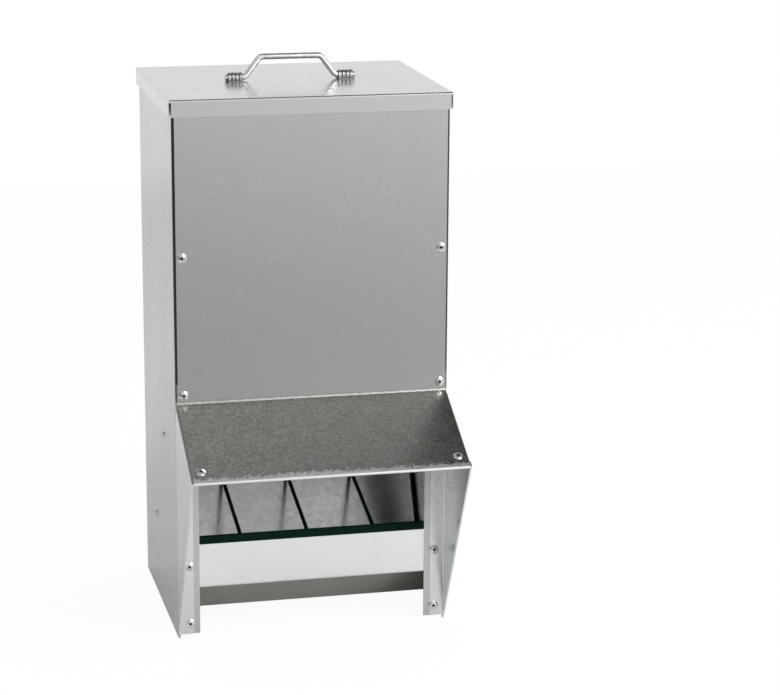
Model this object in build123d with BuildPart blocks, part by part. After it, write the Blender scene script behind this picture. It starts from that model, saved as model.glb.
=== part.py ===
# Galvanized hopper feeder for poultry: a folded sheet steel box with a lift-off lid,
# a hood over the feeding opening and a trough with feed-saver rods.
# Millimetres. X runs from left to right, Y from front to back, Z up.
# The origin is on the ground under the middle of the whole feeder.

import os
from math import atan2, cos, degrees, radians, sin, tan

from build123d import *

# Sheet metal
sheet = 0.8
fold_radius = 1.4
sheet_gap = 0.1

# Hopper box
body_width = 280.0
body_depth = 225.0
overall_height = 554.0
flange_width = 22.4
foot_relief = 4.0

# Lid
lid_side_overhang = 2.8
lid_front_overhang = 3.6
lid_rear_overhang = 3.0
lid_height = 17.0
lid_gap = 0.3
lid_slit = 2.6

# Front panel and hood; the insets are measured in from the outside of the side panels
panel_inset = 2.6
hood_inset = 1.6
hood_top = 248.0
hood_tip_height = 196.2
hood_reach = 103.2
hood_flange_height = 20.0
hood_fold_radius = 3.4
hem_width = 7.0
hem_pitch = 2.4
hem_fold_share = 0.49

# Cheek plates
cheek_leg_tab = 16.2
cheek_hood_tab = 15.0
cheek_hem_width = 8.0
cheek_setback = 1.5
cheek_fold_depth = 5.0
hood_tab_rear = 4.0

# Chute wall and baffle
chute_angle = 63.5
chute_point = (140.0, 122.6)
chute_foot_height = 40.0
chute_flange_height = 20.0
chute_side_gap = 3.4
chute_tab_depth = 28.0
chute_tab_length = 24.0
baffle_angle = 31.7
baffle_top = 253.0
baffle_reach = 118.4
baffle_lip = 12.0
baffle_tab_depth = 18.0
baffle_tab_length = 44.0
tab_overlap = 9.0
tab_fold_radius = 2.9

# Trough
trough_inset = 2.0
trough_lip_height = 107.0
trough_front_foot = 53.5
trough_floor = 20.4
trough_floor_front = 34.3
trough_upstand_height = 57.0
trim_height = 8.6
trim_wall = 1.2

# Feed-saver rods
rod_radius = 2.0
rod_count = 3
rod_front_height = 88.7
rod_slope = 14.34
rod_bend_radius = 6.0
rod_tail = 8.0

# Lid handle
wire_radius = 3.0
handle_reach = 67.5
handle_top = 31.5
handle_height = 20.7
handle_bend_radius = 7.0
handle_foot_gap = 2.2
clip_length = 15.5
clip_end_gap = 2.5
clip_foot = 10.0
clip_rib = 1.1
clip_rib_width = 2.4
clip_rib_count = 4
clip_rib_pitch = 3.9
handle_end_chamfer = 0.5

# Rivets
rivet_head_radius = 5.0
rivet_head_height = 1.6
rivet_shank_radius = 2.4
rivet_tail_radius = 3.2
rivet_tail_height = 2.2
rivet_recess_radius = 1.5
rivet_recess_depth = 2.2
rivet_hole_radius = 2.5

# Rivet places: in from the outside of the side panels, up from the ground or from a fold
panel_rivet_inset = 8.4
panel_rivet_rise = 9.0
panel_rivet_pitch = 140.0
leg_rivet_inset = 12.0
leg_rivet_heights = (15.0, 76.2)
hood_rivet_inset = 11.0
hood_rivet_setback = 14.7
baffle_rivet_y = 82.3
baffle_rivet_depth = 7.8
chute_rivet_height = 88.8
chute_rivet_depth = 18.0
chute_back_rivet_inset = 60.0

# Derived sizes
half_width = body_width / 2
half_sheet = sheet / 2
panel_half_width = half_width - panel_inset
hood_half_width = half_width - hood_inset
trough_half_width = half_width - trough_inset
rod_pitch = body_width / (rod_count + 1)
outer_fold_radius = fold_radius + half_sheet
body_height = overall_height - sheet - lid_gap
lid_rear = body_depth + lid_rear_overhang
front_plane_y = (hood_reach - lid_rear) / 2
hood_angle = degrees(atan2(hood_top - hood_tip_height, hood_reach))
inner_flange_edge = half_width - flange_width
clip_start = handle_reach - clip_end_gap - clip_length
handle_foot = clip_start - handle_foot_gap
chute_back_rivet_height = (
    chute_point[1] + (body_depth - chute_point[0]) * tan(radians(chute_angle)) + chute_flange_height / 2
)

# Planes: side_view measures back from the front plane and up from the ground
side_view = Plane(origin=(0, front_plane_y, 0), x_dir=(0, 1, 0), z_dir=(1, 0, 0))


def plan_view(height):
    return Plane(origin=(0, front_plane_y, height))


def hood_line(y, depth=0.0):
    """Height of the hood's slope at a place in front of the front plane, depth below its top face."""
    return hood_top + y * tan(radians(hood_angle)) - depth / cos(radians(hood_angle))


def chute_line(height, depth=0.0):
    """Place of the chute wall's face at a height, depth behind it."""
    along = (height - chute_point[1]) / tan(radians(chute_angle))
    return chute_point[0] + along + depth / sin(radians(chute_angle))


def baffle_line(y, depth=0.0):
    """Height of the baffle's slope at a place behind the front plane, depth below its top face."""
    return baffle_top - y * tan(radians(baffle_angle)) - depth / cos(radians(baffle_angle))


def rod_line(y):
    return rod_front_height + y * tan(radians(rod_slope))


def folded_sheet(points, radii, half_length, plane=side_view):
    """A strip of sheet folded along points, which are the middle of its thickness."""
    with BuildSketch(plane) as section:
        with BuildLine():
            FilletPolyline(*points, radius=radii)
        trace(line_width=sheet)
    extrude(section.sketch, amount=half_length, both=True)


def end_tab(start, angle, width, overlap, depth, length, hand, radius=tab_fold_radius):
    """A tab folded at one end of a sheet that slopes at an angle from a start point.

    It laps over the sheet, and turns under it at the width, to a depth."""
    slope = Vector(0, cos(radians(angle)), sin(radians(angle)))
    across = Plane(origin=(0, front_plane_y + start[0], start[1]), x_dir=(1, 0, 0), z_dir=slope)
    fold_x = hand * (width - half_sheet)
    with BuildSketch(across) as section:
        with BuildLine():
            FilletPolyline((hand * (width - overlap), 0), (fold_x, 0), (fold_x, depth), radius=radius)
        trace(line_width=sheet)
    extrude(section.sketch, amount=length)


def rivet_holes(places):
    """Clearance holes for rivet shanks at a list of planes, each square to its rivet."""
    for place in places:
        with BuildSketch(place) as hole:
            Circle(rivet_hole_radius)
        extrude(hole.sketch, amount=rivet_head_radius, both=True, mode=Mode.SUBTRACT)


def front_places(x, heights, face=0.0):
    """Rivet places on the front, facing forward, on both sides."""
    return [
        Plane(origin=(hand * x, front_plane_y + face, height), x_dir=(1, 0, 0), z_dir=(0, -1, 0))
        for hand in (-1, 1)
        for height in heights
    ]


def back_places(x, heights):
    """Rivet places on the outside of the back panel, on both sides."""
    return [
        Plane(
            origin=(hand * x, front_plane_y + body_depth + sheet, height),
            x_dir=(-1, 0, 0),
            z_dir=(0, 1, 0),
        )
        for hand in (-1, 1)
        for height in heights
    ]


def side_places(place, hands=(-1, 1)):
    """Rivet places on the outside of the side panels."""
    return [
        Plane(
            origin=(hand * half_width, front_plane_y + place[0], place[1]),
            x_dir=(0, -hand, 0),
            z_dir=(hand, 0, 0),
        )
        for hand in hands
    ]


panel_face = -2 * sheet
panel_rivet_heights = (hood_top + panel_rivet_rise, hood_top + panel_rivet_rise + panel_rivet_pitch)
hood_rivet_y = hood_rivet_setback - hood_reach
baffle_rivet = (baffle_rivet_y, baffle_line(baffle_rivet_y, baffle_rivet_depth))
chute_rivet = (chute_line(chute_rivet_height, chute_rivet_depth), chute_rivet_height)
hood_normal = (0, -sin(radians(hood_angle)), cos(radians(hood_angle)))
panel_places = front_places(half_width - panel_rivet_inset, panel_rivet_heights, panel_face)
leg_places = front_places(half_width - leg_rivet_inset, leg_rivet_heights, -sheet)
rear_places = back_places(half_width - leg_rivet_inset, leg_rivet_heights[-1:] + panel_rivet_heights)
baffle_places = side_places(baffle_rivet)
chute_places = side_places(chute_rivet)
chute_back_places = back_places(half_width - chute_back_rivet_inset, (chute_back_rivet_height,))
hood_places = [
    Plane(
        origin=(
            hand * (half_width - hood_rivet_inset),
            front_plane_y + hood_rivet_y,
            hood_line(hood_rivet_y),
        ),
        x_dir=(1, 0, 0),
        z_dir=hood_normal,
    )
    for hand in (-1, 1)
]

os.makedirs("parts", exist_ok=True)


def save(builder, name):
    builder.part.label = name
    export_step(builder.part, f"parts/{name}.step")


# Side panels: one sheet each, folded in at the front and at the back
for name, hand in (("left", -1), ("right", 1)):
    with BuildPart() as side_panel:
        with BuildSketch(plan_view(0)):
            with BuildLine():
                outer_x = hand * (half_width - half_sheet)
                flange_x = hand * inner_flange_edge
                FilletPolyline(
                    (flange_x, half_sheet),
                    (outer_x, half_sheet),
                    (outer_x, body_depth - half_sheet),
                    (flange_x, body_depth - half_sheet),
                    radius=fold_radius,
                )
            trace(line_width=sheet)
        extrude(amount=body_height)
        # The flanges stop short of the ground, so the panel stands on its side wall
        with BuildSketch(plan_view(0)):
            with Locations((hand * (inner_flange_edge + flange_width / 2 - 2 * sheet), body_depth / 2)):
                Rectangle(flange_width, body_depth + sheet)
            with Locations((hand * half_width, body_depth / 2)):
                Rectangle(2 * (fold_radius + sheet), body_depth + 2 * sheet, mode=Mode.SUBTRACT)
        extrude(amount=foot_relief, mode=Mode.SUBTRACT)
        rivet_holes(panel_places + leg_places + rear_places + baffle_places + chute_places)
    save(side_panel, f"{name}_side_panel")

# Cheek plates: a triangle in line with each side panel, a hem along its front edge,
# one tab folded in on the leg and one folded in under the hood
cheek_tip = cheek_setback - hood_reach
cheek_top = sheet + sheet_gap
hood_tab_front = hem_width - hood_reach + 2 * sheet
cheek_front_edge = [(cheek_tip, hood_line(cheek_tip, cheek_top)), (-cheek_setback, foot_relief)]
edge_rise = (cheek_front_edge[0][1] - foot_relief) / (cheek_setback + cheek_tip)
cheek_outline = [
    (-outer_fold_radius, foot_relief + (cheek_setback - outer_fold_radius) * edge_rise),
    (-outer_fold_radius, hood_line(-outer_fold_radius, cheek_top + outer_fold_radius)),
    (hood_tab_front - half_sheet, hood_line(hood_tab_front - half_sheet, cheek_top + outer_fold_radius)),
    (hood_tab_front - half_sheet, hood_line(hood_tab_front - half_sheet, cheek_top)),
    cheek_front_edge[0],
]
for name, hand in (("left", -1), ("right", 1)):
    with BuildPart() as cheek:
        outer_plane = side_view.offset(hand * half_width)
        with BuildSketch(outer_plane):
            with BuildLine():
                Polyline(*cheek_outline, close=True)
            make_face()
        extrude(amount=-hand * sheet)
        with BuildSketch(outer_plane):
            with BuildLine():
                front_edge = Line(*cheek_front_edge)
            trace(front_edge, line_width=2 * cheek_hem_width)
            with BuildLine():
                Polyline(*cheek_outline, close=True)
            make_face(mode=Mode.INTERSECT)
        extrude(amount=-hand * 2 * sheet)
        end_tab(
            (hood_tab_front, hood_line(hood_tab_front, cheek_top + half_sheet)),
            hood_angle,
            half_width,
            cheek_hood_tab,
            cheek_fold_depth,
            -(hood_tab_rear + hood_tab_front) / cos(radians(hood_angle)),
            hand,
            fold_radius,
        )
        end_tab(
            (-half_sheet, foot_relief),
            90,
            half_width,
            cheek_leg_tab,
            -cheek_fold_depth,
            hood_line(-sheet, 4 * sheet) - foot_relief,
            hand,
            fold_radius,
        )
        # Near the ground the front edge cuts across the leg's fold
        with BuildSketch(outer_plane):
            with BuildLine():
                Polyline(*cheek_front_edge, (cheek_tip, foot_relief), close=True)
            make_face()
        extrude(amount=-hand * outer_fold_radius, mode=Mode.SUBTRACT)
        rivet_holes(leg_places + hood_places)
    save(cheek, f"{name}_cheek")

# Back panel, on the outside of the side panels' rear flanges
with BuildPart() as back_panel:
    with BuildSketch(plan_view(foot_relief)):
        with Locations((0, body_depth + half_sheet)):
            Rectangle(2 * panel_half_width, sheet)
    extrude(amount=body_height - foot_relief)
    rivet_holes(rear_places + chute_back_places)
save(back_panel, "back_panel")

# Front panel, over the flanges and the hood's flange, down to the hood's fold
with BuildPart() as front_panel:
    panel_foot = hood_line(0) + hood_fold_radius - half_sheet
    with BuildSketch(plan_view(panel_foot)):
        with Locations((0, panel_face + half_sheet)):
            Rectangle(2 * panel_half_width, sheet)
    extrude(amount=body_height - panel_foot)
    rivet_holes(panel_places)
save(front_panel, "front_panel")

# Hood: a flange behind the front panel, a fold, the slope and a closed hem
with BuildPart() as hood:
    tip_y = -(hood_reach - half_sheet)
    slope_y = cos(radians(hood_angle))
    slope_z = sin(radians(hood_angle))
    tip = (tip_y, hood_line(tip_y, half_sheet))
    hem_start = (tip[0] + hem_pitch * slope_z, tip[1] - hem_pitch * slope_y)
    hem_end = (hem_start[0] + hem_width * slope_y, hem_start[1] + hem_width * slope_z)
    folded_sheet(
        [
            (-half_sheet, hood_top + hood_flange_height),
            (-half_sheet, hood_line(-half_sheet, half_sheet)),
            tip,
            hem_start,
            hem_end,
        ],
        [hood_fold_radius, hem_fold_share * hem_pitch, hem_fold_share * hem_pitch],
        hood_half_width,
    )
    rivet_holes(panel_places + hood_places)
save(hood, "hood")

# Baffle: holds the feed back so that it runs out low, over the chute
with BuildPart() as baffle:
    baffle_y = half_sheet + sheet_gap
    folded_sheet(
        [
            (baffle_y, hood_top + hood_flange_height),
            (baffle_y, baffle_line(baffle_y, half_sheet)),
            (baffle_reach, baffle_line(baffle_reach, half_sheet)),
            (baffle_reach, baffle_line(baffle_reach, half_sheet) - baffle_lip),
        ],
        fold_radius,
        half_width - sheet - 2 * sheet_gap,
    )
    # Its top flange fits between the side panels' flanges
    with BuildSketch(plan_view(0)):
        for hand in (-1, 1):
            with Locations((hand * half_width, 0)):
                Rectangle(2 * (flange_width + sheet), 4 * (sheet + fold_radius))
    extrude(amount=overall_height, mode=Mode.SUBTRACT)
    tab_start = baffle_rivet_y - (baffle_tab_length / 2) * cos(radians(baffle_angle))
    for hand in (-1, 1):
        end_tab(
            (tab_start, baffle_line(tab_start, half_sheet)),
            -baffle_angle,
            half_width - sheet - sheet_gap,
            tab_overlap,
            baffle_tab_depth,
            baffle_tab_length,
            hand,
        )
    rivet_holes(baffle_places)
save(baffle, "baffle")

# Feed-saver rods: turned up behind the trough's front, straight back through the chute wall
rod_front = 2 * sheet + rod_radius + sheet_gap
rod_rear = (chute_point[1] - rod_front_height - chute_point[0] * tan(radians(chute_angle))) / (
    tan(radians(rod_slope)) - tan(radians(chute_angle))
)
rod_end = rod_rear + rod_tail * cos(radians(rod_slope))
rod_top = trough_lip_height - trim_height - sheet


def rod_body(x, radius, mode=Mode.ADD):
    rod_plane = side_view.offset(x)
    with BuildLine(rod_plane) as path:
        FilletPolyline(
            (rod_front, rod_top),
            (rod_front, rod_line(rod_front)),
            (rod_end, rod_line(rod_end)),
            radius=rod_bend_radius,
        )
    with BuildSketch(Plane(origin=path.line @ 0, z_dir=path.line % 0)) as section:
        Circle(radius)
    sweep(section.sketch, path=path.line, mode=mode)


rod_places = {"left": -rod_pitch, "centre": 0.0, "right": rod_pitch}
for name, x in rod_places.items():
    with BuildPart() as feed_rod:
        rod_body(x, rod_radius)
    save(feed_rod, f"feed_rod_{name}")

# Chute: the sloping wall that the feed runs down, fixed to the back panel and the sides
with BuildPart() as chute:
    flange_y = body_depth - half_sheet - sheet_gap
    behind = half_sheet
    top_height = chute_point[1] + (flange_y - chute_line(chute_point[1], behind)) * tan(
        radians(chute_angle)
    )
    folded_sheet(
        [
            (flange_y, top_height + chute_flange_height),
            (flange_y, top_height),
            (chute_line(chute_foot_height, behind), chute_foot_height),
        ],
        fold_radius,
        half_width - sheet - chute_side_gap,
    )
    # Its top flange fits between the side panels' flanges
    with BuildSketch(plan_view(0)):
        for hand in (-1, 1):
            with Locations((hand * half_width, body_depth)):
                Rectangle(2 * (flange_width + sheet), 4 * (sheet + fold_radius))
    extrude(amount=overall_height, mode=Mode.SUBTRACT)
    # End tabs folded back behind the wall, each with one rivet
    tab_foot = chute_rivet_height - (chute_tab_length / 2) * sin(radians(chute_angle))
    for hand in (-1, 1):
        end_tab(
            (chute_line(tab_foot, behind), tab_foot),
            chute_angle,
            half_width - sheet - sheet_gap,
            tab_overlap,
            chute_tab_depth,
            chute_tab_length,
            hand,
        )
    for x in rod_places.values():
        rod_body(x, rod_radius + sheet_gap, mode=Mode.SUBTRACT)
    rivet_holes(chute_places + chute_back_places)
save(chute, "chute")

# Trough: front plate, sloping underside, floor and an upstand behind the chute's foot
with BuildPart() as trough:
    plate_y = sheet + half_sheet
    upstand = 3 * half_sheet + sheet_gap
    folded_sheet(
        [
            (plate_y, trough_lip_height),
            (plate_y, trough_front_foot),
            (trough_floor_front, trough_floor),
            (chute_line(trough_floor, upstand), trough_floor),
            (chute_line(trough_upstand_height, upstand), trough_upstand_height),
        ],
        2 * fold_radius,
        trough_half_width,
    )
    rivet_holes(leg_places)
save(trough, "trough")

# Trim: a plastic edge guard pushed over the trough's lip between the legs
with BuildPart() as lip_trim:
    trim_top = trough_lip_height + sheet_gap + trim_wall / 2
    with BuildSketch(side_view) as trim_sketch:
        with Locations((plate_y, trim_top)):
            Rectangle(sheet + 2 * (trim_wall + sheet_gap), trim_height, align=(Align.CENTER, Align.MAX))
        fillet(trim_sketch.vertices().group_by(Axis.Y)[-1], radius=trim_wall)
        with Locations((plate_y, trough_lip_height + sheet_gap)):
            Rectangle(
                sheet + 2 * sheet_gap,
                trim_height,
                align=(Align.CENTER, Align.MAX),
                mode=Mode.SUBTRACT,
            )
    extrude(amount=inner_flange_edge - 4 * sheet_gap, both=True)
save(lip_trim, "lip_trim")

# Lid: a shallow folded pan that slips over the box, its corners slit open
with BuildPart() as lid:
    lid_width = body_width + 2 * lid_side_overhang
    lid_depth = lid_front_overhang + lid_rear
    with BuildSketch(plan_view(overall_height)):
        with Locations((0, (lid_rear - lid_front_overhang) / 2)):
            Rectangle(lid_width, lid_depth)
    extrude(amount=-lid_height)
    fillet(lid.faces().sort_by(Axis.Z)[-1].edges(), radius=fold_radius + half_sheet)
    offset(amount=-sheet, openings=lid.faces().sort_by(Axis.Z)[0])
    with BuildSketch(plan_view(overall_height - lid_height)):
        with Locations((0, (lid_rear - lid_front_overhang) / 2)):
            with GridLocations(lid_width, lid_depth, 2, 2):
                Rectangle(2 * lid_slit, 2 * lid_slit)
    extrude(amount=lid_height - lid_slit, mode=Mode.SUBTRACT)
save(lid, "lid")

# Handle: one bent wire whose ends turn in two ribbed clips on the lid
handle_y = body_depth / 2
handle_axis = overall_height + wire_radius + lid_gap
handle_plane = Plane(origin=(0, front_plane_y + handle_y, 0), x_dir=(1, 0, 0), z_dir=(0, -1, 0))
with BuildPart() as lid_handle:
    with BuildLine(handle_plane) as wire_path:
        FilletPolyline(
            (-handle_reach, handle_axis),
            (-handle_foot, handle_axis),
            (-handle_top, handle_axis + handle_height),
            (handle_top, handle_axis + handle_height),
            (handle_foot, handle_axis),
            (handle_reach, handle_axis),
            radius=handle_bend_radius,
        )
    with BuildSketch(Plane(origin=wire_path.line @ 0, z_dir=wire_path.line % 0)):
        Circle(wire_radius)
    sweep(path=wire_path.line)
    wire_ends = lid_handle.edges().group_by(Axis.X)
    chamfer(wire_ends[0] + wire_ends[-1], length=handle_end_chamfer)
save(lid_handle, "lid_handle")

clip_bore = wire_radius + lid_gap
arch = clip_bore + half_sheet
foot_height = overall_height + half_sheet
rib_radius = clip_bore + sheet + clip_rib
for name, hand in (("left", -1), ("right", 1)):
    with BuildPart() as clip:
        clip_middle = side_view.offset(hand * (clip_start + clip_length / 2))
        with BuildSketch(clip_middle):
            with BuildLine():
                FilletPolyline(
                    (handle_y - clip_foot, foot_height),
                    (handle_y - arch, foot_height),
                    (handle_y - arch, handle_axis),
                    radius=sheet,
                )
                ThreePointArc(
                    (handle_y - arch, handle_axis),
                    (handle_y, handle_axis + arch),
                    (handle_y + arch, handle_axis),
                )
                FilletPolyline(
                    (handle_y + arch, handle_axis),
                    (handle_y + arch, foot_height),
                    (handle_y + clip_foot, foot_height),
                    radius=sheet,
                )
            trace(line_width=sheet)
        extrude(amount=clip_length / 2, both=True)
        for rib in range(clip_rib_count):
            with BuildSketch(clip_middle.offset((rib - (clip_rib_count - 1) / 2) * clip_rib_pitch)):
                with Locations((handle_y, handle_axis)):
                    Circle(rib_radius)
                    Rectangle(2 * rib_radius, 2 * arch, align=(Align.CENTER, Align.MAX))
                    Circle(arch, mode=Mode.SUBTRACT)
                    Rectangle(2 * arch, 2 * arch, align=(Align.CENTER, Align.MAX), mode=Mode.SUBTRACT)
                with Locations((handle_y, foot_height)):
                    Rectangle(4 * arch, 4 * arch, align=(Align.CENTER, Align.MAX), mode=Mode.SUBTRACT)
            extrude(amount=clip_rib_width / 2, both=True)
    save(clip, f"handle_clip_{name}")


# Rivets: a domed head with the pin's recess, a shank, and a tail behind the sheets
def rivet_body(grip):
    dome_radius = (rivet_head_radius**2 + rivet_head_height**2) / (2 * rivet_head_height)
    with BuildPart() as rivet:
        with BuildSketch(Plane.XZ):
            with BuildLine():
                floor = rivet_head_height - rivet_recess_depth
                rim = Line((0, floor), (rivet_recess_radius, floor))
                rim_height = (dome_radius**2 - rivet_recess_radius**2) ** 0.5 - dome_radius
                wall = Line(rim @ 1, (rivet_recess_radius, rivet_head_height + rim_height))
                dome = RadiusArc(wall @ 1, (rivet_head_radius, 0), dome_radius)
                Polyline(
                    dome @ 1,
                    (rivet_shank_radius, 0),
                    (rivet_shank_radius, -grip),
                    (rivet_tail_radius, -grip - sheet_gap),
                    (rivet_tail_radius, -grip - rivet_tail_height),
                    (0, -grip - rivet_tail_height),
                    rim @ 0,
                )
            make_face()
        revolve(axis=Axis.Z)
    return rivet.part


rivet_groups = {
    "front_panel_rivets": (panel_places, 3 * sheet),
    "hood_rivets": (hood_places, 2 * sheet),
    "leg_rivets": (leg_places, 3 * sheet),
    "back_panel_rivets": (rear_places, 2 * sheet),
    "baffle_rivets": (baffle_places, 2 * sheet),
    "chute_rivets": (chute_places, 2 * sheet),
    "chute_back_rivets": (chute_back_places, 2 * sheet),
}
for name, (places, sheets) in rivet_groups.items():
    rivet_shape = rivet_body(sheets + 2 * sheet_gap)
    with BuildPart() as rivets:
        for place in places:
            with Locations(place.location):
                add(rivet_shape)
    save(rivets, name)
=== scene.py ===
# %% [markdown]
# # A galvanised hopper feeder, dressed in Blender
# The feeder is folded from thin zinc-coated steel sheet: a tall box with a loose lid, a hood over the
# feeding opening, and a trough with coated rods across it. The CAD model already holds every fold, hem
# and rivet at its real size, so this lesson keeps those shapes. What it adds is the finish of each
# piece, the light and the camera. We load the CAD model first, with a helper that reads a piece's box.

import math

import bpy
from mathutils import Matrix, Vector


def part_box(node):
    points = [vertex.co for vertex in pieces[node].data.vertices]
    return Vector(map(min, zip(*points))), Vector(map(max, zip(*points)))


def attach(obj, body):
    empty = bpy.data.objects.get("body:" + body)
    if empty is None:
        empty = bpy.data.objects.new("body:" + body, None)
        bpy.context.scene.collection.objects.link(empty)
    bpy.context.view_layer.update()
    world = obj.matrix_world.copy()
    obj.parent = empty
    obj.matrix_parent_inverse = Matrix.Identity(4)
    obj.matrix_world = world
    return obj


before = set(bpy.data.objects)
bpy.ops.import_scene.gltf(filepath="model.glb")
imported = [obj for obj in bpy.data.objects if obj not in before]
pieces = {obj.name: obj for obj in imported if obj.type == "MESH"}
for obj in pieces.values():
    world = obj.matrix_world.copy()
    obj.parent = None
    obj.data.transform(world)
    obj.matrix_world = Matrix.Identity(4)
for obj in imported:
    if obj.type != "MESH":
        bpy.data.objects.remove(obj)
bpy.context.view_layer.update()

# %% [markdown]
# ## The camera
# A product picture is taken from far away with a long lens, so that upright edges stay nearly upright.
# The camera stands to the left of the feeder and looks a little down on it. The angles here come from
# lining up the corners of the box, the lid, the hood and the legs with the picture.

# %% Set up the camera
camera_place = Vector((-0.4952, -2.4665, 0.9333))
camera_turn = math.radians(13.454)
camera_dip = math.radians(14.478)
camera_roll = math.radians(0.389)
middle_of_feeder = Vector((0, 0, 0.28))

camera_data = bpy.data.cameras.new("camera")
camera = bpy.data.objects.new("camera", camera_data)
bpy.context.scene.collection.objects.link(camera)
camera_data.lens = 116.37
camera_data.sensor_width = 36.0
camera_data.clip_end = 60.0
camera.matrix_world = (
    Matrix.Translation(camera_place)
    @ Matrix.Rotation(-camera_turn, 4, "Z")
    @ Matrix.Rotation(math.pi / 2 - camera_dip, 4, "X")
    @ Matrix.Rotation(camera_roll, 4, "Z")
)
bpy.context.scene.camera = camera
bpy.context.scene.view_settings.view_transform = "Standard"
print("camera", round((camera_place - middle_of_feeder).length, 2), "m away")

# %% [markdown]
# ## Colours and nodes
# Colours are written as the hex values that a screen shows. Blender mixes light in linear values, so
# one function turns the first into the second. A second small function adds a shader node: it sets the
# node's own properties, and gives each input either a value or a link. Every material below uses it.


# %% Helpers for materials
def linear(hex_colour):
    """The linear red, green, blue and alpha of an sRGB colour such as 'B4B9B9'."""
    parts = [int(hex_colour[i : i + 2], 16) / 255 for i in (0, 2, 4)]
    return [c / 12.92 if c <= 0.04045 else ((c + 0.055) / 1.055) ** 2.4 for c in parts] + [1.0]


def add(tree, kind, inputs=None, **properties):
    """Adds a node of a kind, with its properties set and its inputs given a value or a link."""
    node = tree.nodes.new("ShaderNode" + kind)
    for name, value in properties.items():
        setattr(node, name, value)
    for name, value in (inputs or {}).items():
        if isinstance(value, bpy.types.NodeSocket):
            tree.links.new(value, node.inputs[name])
        else:
            node.inputs[name].default_value = value
    return node


def new_material(name):
    """An empty node material, its tree and the place on the piece, in metres from the piece's origin."""
    material = bpy.data.materials.new(name)
    material.use_nodes = True
    tree = material.node_tree
    tree.nodes.clear()
    return material, tree, add(tree, "TexCoord").outputs["Object"]


def metres(millimetres):
    """Noise and cell patterns repeat once per unit, so a size in mm becomes a scale per metre."""
    return 1000.0 / millimetres


print("mid grey B4B9B9 is", [round(c, 3) for c in linear("B4B9B9")])

# %% [markdown]
# ## Galvanised steel sheet
# Steel strip runs through molten zinc and comes out with a skin of zinc crystals, called spangle. On
# modern strip the crystals are small, so from arm's length the sheet looks evenly satin, with a soft
# cloudiness where the zinc is thicker. A metal has no diffuse colour: what we see is its reflection.
# So the colour varies a little from cloud to cloud and from crystal to crystal, and the roughness
# varies with the same crystals. The rolls leave faint dashes along the strip, which lies level here.
#
# Some sheets also have a part that looks different: a hem with a painted highlight, a groove with
# painted shade, or a flange that was never wiped. A mask made from the place on the piece or from the
# way a face points mixes a second tone in there.


# %% The zinc skin
def zinc_sheet(name, pale, dark, rough, crystal=3.0, cloud=60.0, share=0.12, dent=0.001, parts=()):
    """Zinc on steel: two tones, the roughness of each, and the sizes of crystals and clouds in mm.

    parts are functions that each make the mask of a part that looks different, its tone and roughness."""
    material, tree, place = new_material(name)
    wander = add(tree, "TexNoise", {"Vector": place, "Scale": metres(2.2 * crystal), "Detail": 2.0})
    bend = (0.0012 * crystal,) * 3
    bent = add(
        tree, "VectorMath", {0: wander.outputs["Color"], 1: bend, 2: place}, operation="MULTIPLY_ADD"
    )
    cells = add(tree, "TexVoronoi", {"Vector": bent.outputs[0], "Scale": metres(crystal)})
    shade = add(tree, "SeparateColor", {"Color": cells.outputs["Color"]}).outputs["Red"]
    clouds = add(
        tree, "TexNoise", {"Vector": place, "Scale": metres(cloud), "Detail": 4.0, "Roughness": 0.6}
    ).outputs["Fac"]
    level = add(tree, "Mapping", {"Vector": place, "Scale": (0.1, 0.1, 1.0)}).outputs["Vector"]
    dashes = add(
        tree, "TexNoise", {"Vector": level, "Scale": metres(1.6), "Detail": 1.0}
    ).outputs["Fac"]
    rolled = add(tree, "Mix", {"Factor": 0.3, "A": clouds, "B": dashes}, data_type="FLOAT").outputs["Result"]
    blend = add(tree, "Mix", {"Factor": share, "A": rolled, "B": shade}, data_type="FLOAT").outputs["Result"]
    spread = add(tree, "MapRange", {"Value": blend, "From Min": 0.3, "From Max": 0.7}).outputs["Result"]
    colour = add(
        tree, "Mix", {"Factor": spread, "A": linear(dark), "B": linear(pale)}, data_type="RGBA"
    ).outputs["Result"]
    roughness = add(
        tree, "MapRange", {"Value": spread, "To Min": rough[1], "To Max": rough[0]}
    ).outputs["Result"]
    for part in parts:
        mask, tone, roughness_there = part(tree, place)
        colour = add(
            tree, "Mix", {"Factor": mask, "A": colour, "B": linear(tone)}, data_type="RGBA"
        ).outputs["Result"]
        roughness = add(
            tree, "Mix", {"Factor": mask, "A": roughness, "B": roughness_there}, data_type="FLOAT"
        ).outputs["Result"]
    bump = add(tree, "Bump", {"Height": blend, "Strength": dent, "Distance": 0.001}).outputs["Normal"]
    surface = add(
        tree,
        "BsdfPrincipled",
        {"Base Color": colour, "Roughness": roughness, "Normal": bump, "Metallic": 1.0},
    )
    add(tree, "OutputMaterial", {"Surface": surface.outputs[0]})
    return material


def facing(tree, axis):
    """Mask of the faces that point forward (axis Y) or down (axis Z), within about 50 degrees."""
    steepest = -0.6
    points = add(tree, "SeparateXYZ", {"Vector": add(tree, "NewGeometry").outputs["True Normal"]})
    return add(tree, "Math", {0: points.outputs[axis], 1: steepest}, operation="LESS_THAN").outputs[0]


def dull_flange(tree, place):
    """The narrow strips of flange beside the feeding opening, spotted and a little dull."""
    spots = add(tree, "TexNoise", {"Vector": place, "Scale": metres(2.5), "Detail": 3.0}).outputs["Fac"]
    patchy = add(tree, "MapRange", {"Value": spots, "From Min": 0.35, "From Max": 0.65}).outputs["Result"]
    mask = add(tree, "Math", {0: facing(tree, "Y"), 1: patchy}, operation="MULTIPLY").outputs[0]
    return mask, "B4B4B2", 0.4


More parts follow.
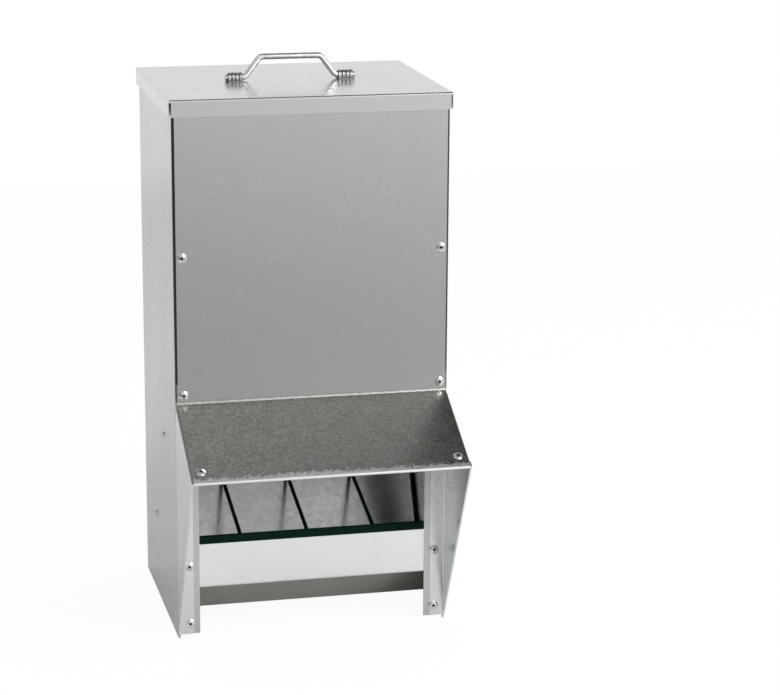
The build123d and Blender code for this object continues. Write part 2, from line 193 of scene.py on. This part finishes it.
def painted_groove_shade(tree, place):
    """Painted shade on the bend beside the front panel, above the hood, where the gap is in shadow."""
    groove_foot = 0.25
    height = add(tree, "SeparateXYZ", {"Vector": place}).outputs["Z"]
    above_hood = add(tree, "Math", {0: height, 1: groove_foot}, operation="GREATER_THAN").outputs[0]
    mask = add(tree, "Math", {0: facing(tree, "Y"), 1: above_hood}, operation="MULTIPLY").outputs[0]
    return mask, "4A4A48", 0.5


def painted_rim_light(tree, place):
    """Painted light on the front of the lid's rim: a brighter tone on its forward faces."""
    return facing(tree, "Y"), "D8DADA", 0.25


def painted_trough_underside_shade(tree, place):
    """Painted shade on the bottom of the trough: a darker tone on its downward faces, which reflect the
    shaded floor.
    """
    return facing(tree, "Z"), "8C8A84", 0.35


def painted_hood_underside_light(tree, place):
    """Painted light on the inside of the hood: a lighter tone on its downward faces, which the chute's wall
    reflects.
    """
    return facing(tree, "Z"), "D0D2D2", 0.25


def painted_hem_highlight(tree, place):
    """Mask of the painted highlight along the hood's hem, a bright band with a ragged border."""
    raggedness, hem_starts, hem_full = -0.02, -0.169, -0.172
    along = add(tree, "SeparateXYZ", {"Vector": place}).outputs["Y"]
    grain = add(tree, "TexNoise", {"Vector": place, "Scale": metres(3.0), "Detail": 4.0}).outputs["Fac"]
    ragged = add(tree, "Math", {0: grain, 1: raggedness, 2: along}, operation="MULTIPLY_ADD").outputs[0]
    mask = add(
        tree, "MapRange", {"Value": ragged, "From Min": hem_starts, "From Max": hem_full}
    ).outputs["Result"]
    return mask, "DADCDC", 0.55


# Painted light and shade: the box's panels, cheeks, lid and chute are one zinc, toned by how bright each
# looks.
galvanised = zinc_sheet("galvanised_steel_satin", "CED0D0", "C9CBCB", (0.27, 0.285))
# The side panels carry painted shade in the groove beside the front panel.
galvanised_side = zinc_sheet(
    "galvanised_steel_side", "BEC0C0", "B8BABA", (0.26, 0.29), parts=[dull_flange, painted_groove_shade]
)
galvanised_cheek = zinc_sheet("galvanised_steel_cheek", "D2D4D4", "CCCECE", (0.25, 0.28))
# The lid's rim carries painted light on its forward faces.
galvanised_lid = zinc_sheet("galvanised_steel_lid", "BBBDBD", "B5B7B7", (0.15, 0.2), parts=[painted_rim_light])
# The hood's hem carries a painted highlight.
galvanised_hood = zinc_sheet(
    "galvanised_steel_spangled",
    "D8D8D2",
    "AEAEA8",
    (0.22, 0.36),
    crystal=2.6,
    cloud=16.0,
    share=0.45,
    # The inside of the hood carries painted light on its downward faces.
    parts=[painted_hem_highlight, painted_hood_underside_light],
)
# The trough's bottom carries painted shade on its downward faces.
galvanised_bright = zinc_sheet(
    "galvanised_steel_bright", "DFE1E1", "D8DADA", (0.26, 0.32), parts=[painted_trough_underside_shade]
)
galvanised_inner = zinc_sheet(
    "galvanised_steel_inner", "DCDDDC", "CACBCA", (0.15, 0.22), crystal=4.0, share=0.3
)
print("sheet finishes made")

# %% [markdown]
# ## The other metals and the plastic
# The rivets are aluminium with a bright turned head. The pin breaks off inside and leaves a small hole.
# Ambient occlusion finds what lies in a narrow place, and the colour is darkened there: painted shade,
# with some dirt in the hole. The handle is steel wire with a thin zinc plate, drawn smooth. The rods and
# the edge trim are dark green plastic: PVC dipped on the rods, and an extruded strip on the trough's lip.
# PVC is not metal, so its colour is diffuse and only its gloss reflects.


# %% Bright metals and PVC
def plain_finish(name, pale, dark, metallic, rough, size, grime_and_shade=0.0, specular=0.5):
    """A plain finish: two tones in patches of a size in mm, darkened in narrow places by painted shade and
    dirt.
    """
    material, tree, place = new_material(name)
    noise = add(tree, "TexNoise", {"Vector": place, "Scale": metres(size), "Detail": 3.0}).outputs["Fac"]
    spread = add(tree, "MapRange", {"Value": noise, "From Min": 0.3, "From Max": 0.7}).outputs["Result"]
    colour = add(
        tree, "Mix", {"Factor": spread, "A": linear(dark), "B": linear(pale)}, data_type="RGBA"
    ).outputs["Result"]
    if grime_and_shade:
        # Painted shade: ambient occlusion darkens the colour in holes, round heads and between ribs.
        open_share = add(tree, "AmbientOcclusion", {"Distance": 0.005}, samples=8).outputs["AO"]
        shade_and_grime_factor = add(
            tree, "MapRange", {"Value": open_share, "From Min": 0.35, "From Max": 0.85, "To Min": 1 - grime_and_shade}
        ).outputs["Result"]
        colour = add(tree, "VectorMath", {0: colour, "Scale": shade_and_grime_factor}, operation="SCALE").outputs[0]
    roughness = add(
        tree, "MapRange", {"Value": spread, "To Min": rough[0], "To Max": rough[1]}
    ).outputs["Result"]
    bump = add(tree, "Bump", {"Height": noise, "Strength": 0.05, "Distance": 0.001}).outputs["Normal"]
    surface = add(
        tree,
        "BsdfPrincipled",
        {
            "Base Color": colour,
            "Roughness": roughness,
            "Normal": bump,
            "Metallic": metallic,
            "Specular IOR Level": specular,
        },
    )
    add(tree, "OutputMaterial", {"Surface": surface.outputs[0]})
    return material


# Rivets and clips are darkened in narrow places: painted shade with some dirt.
rivet_aluminium = plain_finish("aluminium_rivet", "E8E9E9", "A8AAAA", 1.0, (0.25, 0.4), 2.0, grime_and_shade=0.93)
zinc_wire = plain_finish("zinc_plated_wire", "ECEDED", "D6D8D8", 1.0, (0.3, 0.4), 6.0)
clip_steel = plain_finish("zinc_plated_clip", "D6D7D6", "A2A4A3", 1.0, (0.3, 0.45), 2.0, grime_and_shade=0.75)
green_pvc = plain_finish("green_pvc_trim", "05261C", "042018", 0.0, (0.4, 0.5), 3.0, specular=0.05)
green_coating = plain_finish("green_pvc_coated_rod", "08261B", "061E16", 0.0, (0.35, 0.45), 3.0, specular=0.1)
print("metals and PVC made")

# %% [markdown]
# ## Dressing the pieces
# Each CAD piece gets the finish of its own sheet. The hood and the trough are cut from other coils of
# steel than the box: the hood's spangle is coarse and dark, and the trough's front is bright and fresh.
# The box's panels, cheeks and lid and the chute inside are one zinc; their slightly different tones
# are painted light and shade, set to how bright each piece looks under this light.

# %% Give every piece its finish
finishes = {
    "left_side_panel": galvanised_side,
    "right_side_panel": galvanised_side,
    "left_cheek": galvanised_cheek,
    "right_cheek": galvanised_cheek,
    "lid": galvanised_lid,
    "hood": galvanised_hood,
    "trough": galvanised_bright,
    "chute": galvanised_inner,
    "baffle": galvanised_inner,
    "lid_handle": zinc_wire,
    "handle_clip_left": clip_steel,
    "handle_clip_right": clip_steel,
    "lip_trim": green_pvc,
    "feed_rod_left": green_coating,
    "feed_rod_centre": green_coating,
    "feed_rod_right": green_coating,
}
for name, piece in pieces.items():
    finish = rivet_aluminium if name.endswith("rivets") else finishes.get(name, galvanised)
    piece.data.materials.clear()
    piece.data.materials.append(finish)
print({name: piece.data.materials[0].name for name, piece in pieces.items()})

# %% [markdown]
# ## The strip in the corner of the chute
# Where the sloping wall meets the side panels, the CAD model leaves a narrow gap. A strip of the same
# dark green PVC as the edge trim closes it, and its front edge is rounded off with a small flat. The
# dark strip is painted shade: it stands where the gap's shadow lies. It is one profile, drawn across the
# wall and pulled up along its slope, on the left and mirrored on the right.

# %% Build the two corner strips
wall_slope = math.radians(63.5)
wall_foot = Vector((0, 0.0389, 0.045))
wall_up = Vector((0, math.cos(wall_slope), math.sin(wall_slope)))
wall_out = Vector((0, -math.sin(wall_slope), math.cos(wall_slope)))
strip_length, strip_width, strip_height, strip_flat = 0.225, 0.0036, 0.0016, 0.0009
sheet_thickness, strip_gap = 0.0008, 0.0001
panel_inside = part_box("right_side_panel")[1][0] - sheet_thickness - strip_gap
profile = [
    (panel_inside, strip_gap),
    (panel_inside, strip_height),
    (panel_inside - strip_flat, strip_height),
    (panel_inside - strip_width, strip_height - strip_flat),
    (panel_inside - strip_width, strip_gap),
]
# Painted shade: each dark strip stands where the shadow of the corner gap lies.
for side, hand in (("left", -1), ("right", 1)):
    corners = [
        wall_foot + wall_up * along + Vector((hand * across, 0, 0)) + wall_out * out
        for along in (0, strip_length)
        for across, out in profile
    ]
    count = len(profile)
    faces = [(i, (i + 1) % count, (i + 1) % count + count, i + count) for i in range(count)]
    faces += [tuple(range(count)), tuple(range(2 * count - 1, count - 1, -1))]
    strip_mesh = bpy.data.meshes.new(f"shadow_strip_{side}")
    strip_mesh.from_pydata(corners, [], faces)
    strip_mesh.materials.append(green_pvc)
    strip = bpy.data.objects.new(f"shadow_strip_{side}", strip_mesh)
    bpy.context.scene.collection.objects.link(strip)
    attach(strip, "feeder")
print("strips", round(strip_length * 1000), "mm long")

# %% [markdown]
# ## The studio
# The feeder stands on a white sweep of paper in a light tent. The floor takes its light from the tent's
# white cloth, and it keeps a soft shadow under the feeder. The metal shows the room itself: the white
# paper behind and in front of the feeder, a dark ceiling, and a front that is bright at the horizon.
# That is why the front of a metal box looks greyer than its side.

# %% The paper sweep
sheet_left, sheet_right, sheet_front, sheet_back = -1.15, 1.5, -0.62, 2.4
floor_mesh = bpy.data.meshes.new("floor")
floor_mesh.from_pydata(
    [
        (sheet_left, sheet_front, 0),
        (sheet_right, sheet_front, 0),
        (sheet_right, sheet_back, 0),
        (sheet_left, sheet_back, 0),
    ],
    [],
    [(0, 1, 2, 3)],
)
floor = bpy.data.objects.new("floor", floor_mesh)
bpy.context.scene.collection.objects.link(floor)
camera_lift, polished_lift = 0.95, 0.03
white_paper, tree = new_material("white_paper_sweep")[:2]
rays = add(tree, "LightPath").outputs
polished = add(
    tree, "Math", {0: rays["Is Glossy Ray"], 1: rays["Is Transmission Ray"]}, operation="MAXIMUM"
).outputs[0]
polished_part = add(tree, "Math", {0: polished, 1: polished_lift}, operation="MULTIPLY").outputs[0]
lift = add(
    tree, "Math", {0: rays["Is Camera Ray"], 1: camera_lift, 2: polished_part}, operation="MULTIPLY_ADD"
).outputs[0]
paper = add(tree, "BsdfDiffuse", {"Color": linear("FBFBFB")}).outputs[0]
glow = add(tree, "Emission", {"Color": linear("FFFFFF"), "Strength": 1.0}).outputs[0]
surface = add(tree, "MixShader", {0: lift, 1: paper, 2: glow})
add(tree, "OutputMaterial", {"Surface": surface.outputs[0]})
floor_mesh.materials.append(white_paper)
print("paper", tuple(round(v, 2) for v in floor.dimensions))

# %% [markdown]
# The room is the world's own light, and its brightness depends only on the direction. The camera sees
# plain white, and rough surfaces are lit by a white tent that grows brighter towards the top. Polished
# surfaces see white where they look low behind the feeder, and elsewhere a grey that is bright at the
# horizon and dark overhead. Near the horizon that grey is brightest a little to the right of the front,
# high up it is darkest on the right, and everywhere it dims towards the back.

# %% The room
world = bpy.data.worlds.new("studio")
bpy.context.scene.world = world
world.use_nodes = True
tree = world.node_tree
tree.nodes.clear()
looking = add(tree, "SeparateXYZ", {"Vector": add(tree, "TexCoord").outputs["Generated"]}).outputs

# Grey at each height of the direction, from -1 straight down to 1 straight up
room_heights = [
    (-1.0, 0.18),
    (-0.45, 0.13),
    (-0.3, 0.16),
    (-0.2, 0.48),
    (-0.1, 1.2),
    (0.12, 1.2),
    (0.4, 0.7),
    (0.8, 0.52),
    (0.95, 0.3),
    (1.0, 0.1),
]
height = add(tree, "MapRange", {"Value": looking["Z"], "From Min": -1.0, "From Max": 1.0}).outputs["Result"]
ramp = add(tree, "ValToRGB", {"Fac": height})
marks = ramp.color_ramp.elements
while len(marks) < len(room_heights):
    marks.new(0.5)
for mark, (step, grey) in zip(marks, room_heights):
    mark.position = (step + 1) / 2
    mark.color = (grey, grey, grey, 1)
low_shade = add(
    tree,
    "MapRange",
    {"Value": looking["X"], "From Min": -0.4, "From Max": 0.6, "To Min": 0.3, "To Max": 1.35},
).outputs["Result"]
high_shade = add(
    tree,
    "MapRange",
    {"Value": looking["X"], "From Min": 0.1, "From Max": 0.29, "To Min": 1.5, "To Max": 0.0},
).outputs["Result"]
high = add(tree, "MapRange", {"Value": looking["Z"], "From Min": 0.3, "From Max": 0.6}).outputs["Result"]
left_shade = add(
    tree, "Mix", {"Factor": high, "A": low_shade, "B": high_shade}, data_type="FLOAT"
).outputs["Result"]
behind = add(tree, "MapRange", {"Value": looking["Y"], "From Min": 0.1, "From Max": 0.5}).outputs["Result"]
back_shade = add(
    tree, "MapRange", {"Value": looking["Y"], "From Min": -0.1, "From Max": 0.3, "To Min": 1.0, "To Max": 0.2}
).outputs["Result"]
right_shade = add(
    tree, "MapRange", {"Value": looking["X"], "From Min": 0.5, "From Max": 0.9, "To Min": 1.0, "To Max": 0.55}
).outputs["Result"]
shade = add(tree, "Math", {0: left_shade, 1: back_shade}, operation="MULTIPLY").outputs[0]
shade = add(tree, "Math", {0: shade, 1: right_shade}, operation="MULTIPLY").outputs[0]
room_grey = add(
    tree, "VectorMath", {0: ramp.outputs["Color"], "Scale": shade}, operation="SCALE"
).outputs[0]
low = add(tree, "MapRange", {"Value": looking["Z"], "From Min": 0.7, "From Max": 0.4}).outputs["Result"]
not_left = add(
    tree, "MapRange", {"Value": looking["X"], "From Min": -0.75, "From Max": -0.5}
).outputs["Result"]
behind_low = add(tree, "Math", {0: behind, 1: low}, operation="MULTIPLY").outputs[0]
behind_low = add(tree, "Math", {0: behind_low, 1: not_left}, operation="MULTIPLY").outputs[0]
rays = add(tree, "LightPath").outputs
polished = add(
    tree, "Math", {0: rays["Is Glossy Ray"], 1: rays["Is Transmission Ray"]}, operation="MAXIMUM"
).outputs[0]
polished_white = add(tree, "Math", {0: polished, 1: behind_low}, operation="MULTIPLY").outputs[0]
plain_white = add(tree, "Math", {0: 1.0, 1: polished}, operation="SUBTRACT").outputs[0]
white_share = add(tree, "Math", {0: plain_white, 1: polished_white}, operation="MAXIMUM").outputs[0]
room = add(tree, "Background", {"Color": room_grey, "Strength": 1.0}).outputs[0]
above = add(
    tree, "MapRange", {"Value": looking["Z"], "From Min": 0.0, "From Max": 0.5, "To Max": 0.75}
).outputs["Result"]
not_seen = add(tree, "Math", {0: 1.0, 1: rays["Is Diffuse Ray"]}, operation="SUBTRACT").outputs[0]
tent = add(tree, "Math", {0: above, 1: not_seen}, operation="MAXIMUM").outputs[0]
white = add(tree, "Background", {"Color": linear("FFFFFF"), "Strength": tent}).outputs[0]
sky = add(tree, "MixShader", {0: white_share, 1: room, 2: white})
add(tree, "OutputWorld", {"Surface": sky.outputs[0]})
print("room", len(room_heights), "greys")

# %% [markdown]
# One softbox in front and to the right draws the bright lines along the folds, the rivets and the wire.

# %% The softbox
lamp = bpy.data.lights.new("front_softbox", "AREA")
lamp.shape = "SQUARE"
lamp.size = 1.0
lamp.energy = 74
softbox = bpy.data.objects.new("front_softbox", lamp)
bpy.context.scene.collection.objects.link(softbox)
softbox.location = (1.9, -2.2, 2.1)
lit_point = Vector((0, 0, 0.2))
softbox.rotation_euler = (lit_point - softbox.location).to_track_quat("-Z", "Y").to_euler()
print("lamp", lamp.energy, "W")
